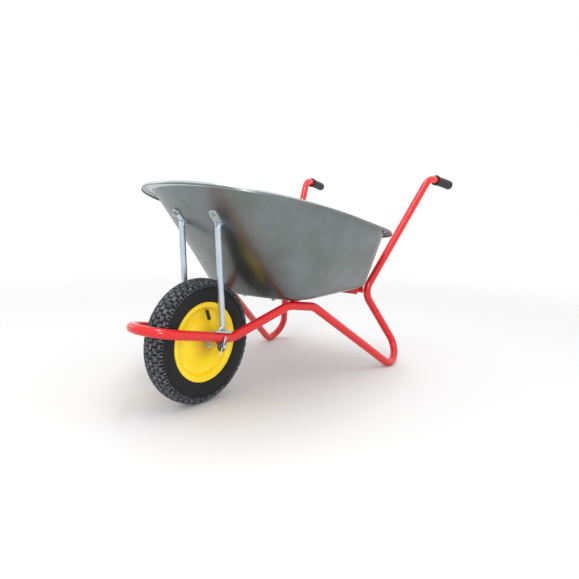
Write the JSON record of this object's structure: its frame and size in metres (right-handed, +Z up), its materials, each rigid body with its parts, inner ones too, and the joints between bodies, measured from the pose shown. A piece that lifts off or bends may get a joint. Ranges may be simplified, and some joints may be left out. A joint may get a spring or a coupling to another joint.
{
  "type": "wheelbarrow",
  "caption": "Single-wheel barrow: red bent-tube frame with legs, galvanised steel tub on struts, black grips and an air tyre on a yellow pressed rim.",
  "frame": {"origin": "middle of the footprint, on the ground", "axes": "+Z up, +Y from the wheel towards the handles, +X to the side the valve is on"},
  "size_m": [0.668, 1.34, 0.7124],
  "materials": {
    "red_paint": "gloss",
    "yellow_paint": "satin",
    "galvanised_sheet": "satin",
    "zinc_tube": "satin",
    "zinc_fastener": "satin",
    "bare_steel": "polished",
    "tyre_rubber": "matte",
    "black_rubber": "matte",
    "grip_rubber": "satin",
    "brass_stem": "satin"
  },
  "bodies": {
    "frame": {"frame_tube": "red_paint", "front_crossbar": "red_paint", "rear_crossbar": "red_paint", "axle_bracket_left": "red_paint", "axle_bracket_right": "red_paint", "axle": "bare_steel", "axle_washers": "zinc_fastener", "split_pins": "zinc_fastener", "axle_spacer_left": "zinc_tube", "axle_spacer_right": "zinc_tube", "tub": "galvanised_sheet", "strut_left": "zinc_tube", "strut_right": "zinc_tube", "grip_left": "grip_rubber", "grip_right": "grip_rubber", "strut_top_bolts": "zinc_fastener", "strut_top_washers": "zinc_fastener", "strut_top_nuts": "zinc_fastener", "strut_foot_bolts": "zinc_fastener", "strut_foot_washers": "zinc_fastener", "strut_foot_nuts": "zinc_fastener", "tub_bolts": "zinc_fastener", "tub_washers": "zinc_fastener", "tub_nuts": "zinc_fastener"},
    "wheel": {"tyre": "tyre_rubber", "inner_tube": "black_rubber", "rim_half_left": "yellow_paint", "rim_half_right": "yellow_paint", "hub_tube": "bare_steel", "bush_left": "bare_steel", "bush_right": "bare_steel", "valve_stem": "brass_stem", "valve_cap": "black_rubber"}
  },
  "joints": [
    {"name": "wheel_spin", "type": "hinge", "parent": "frame", "child": "wheel", "pos_m": [0, -0.441, 0.185], "axis": [1, 0, 0], "continuous": true}
  ]
}
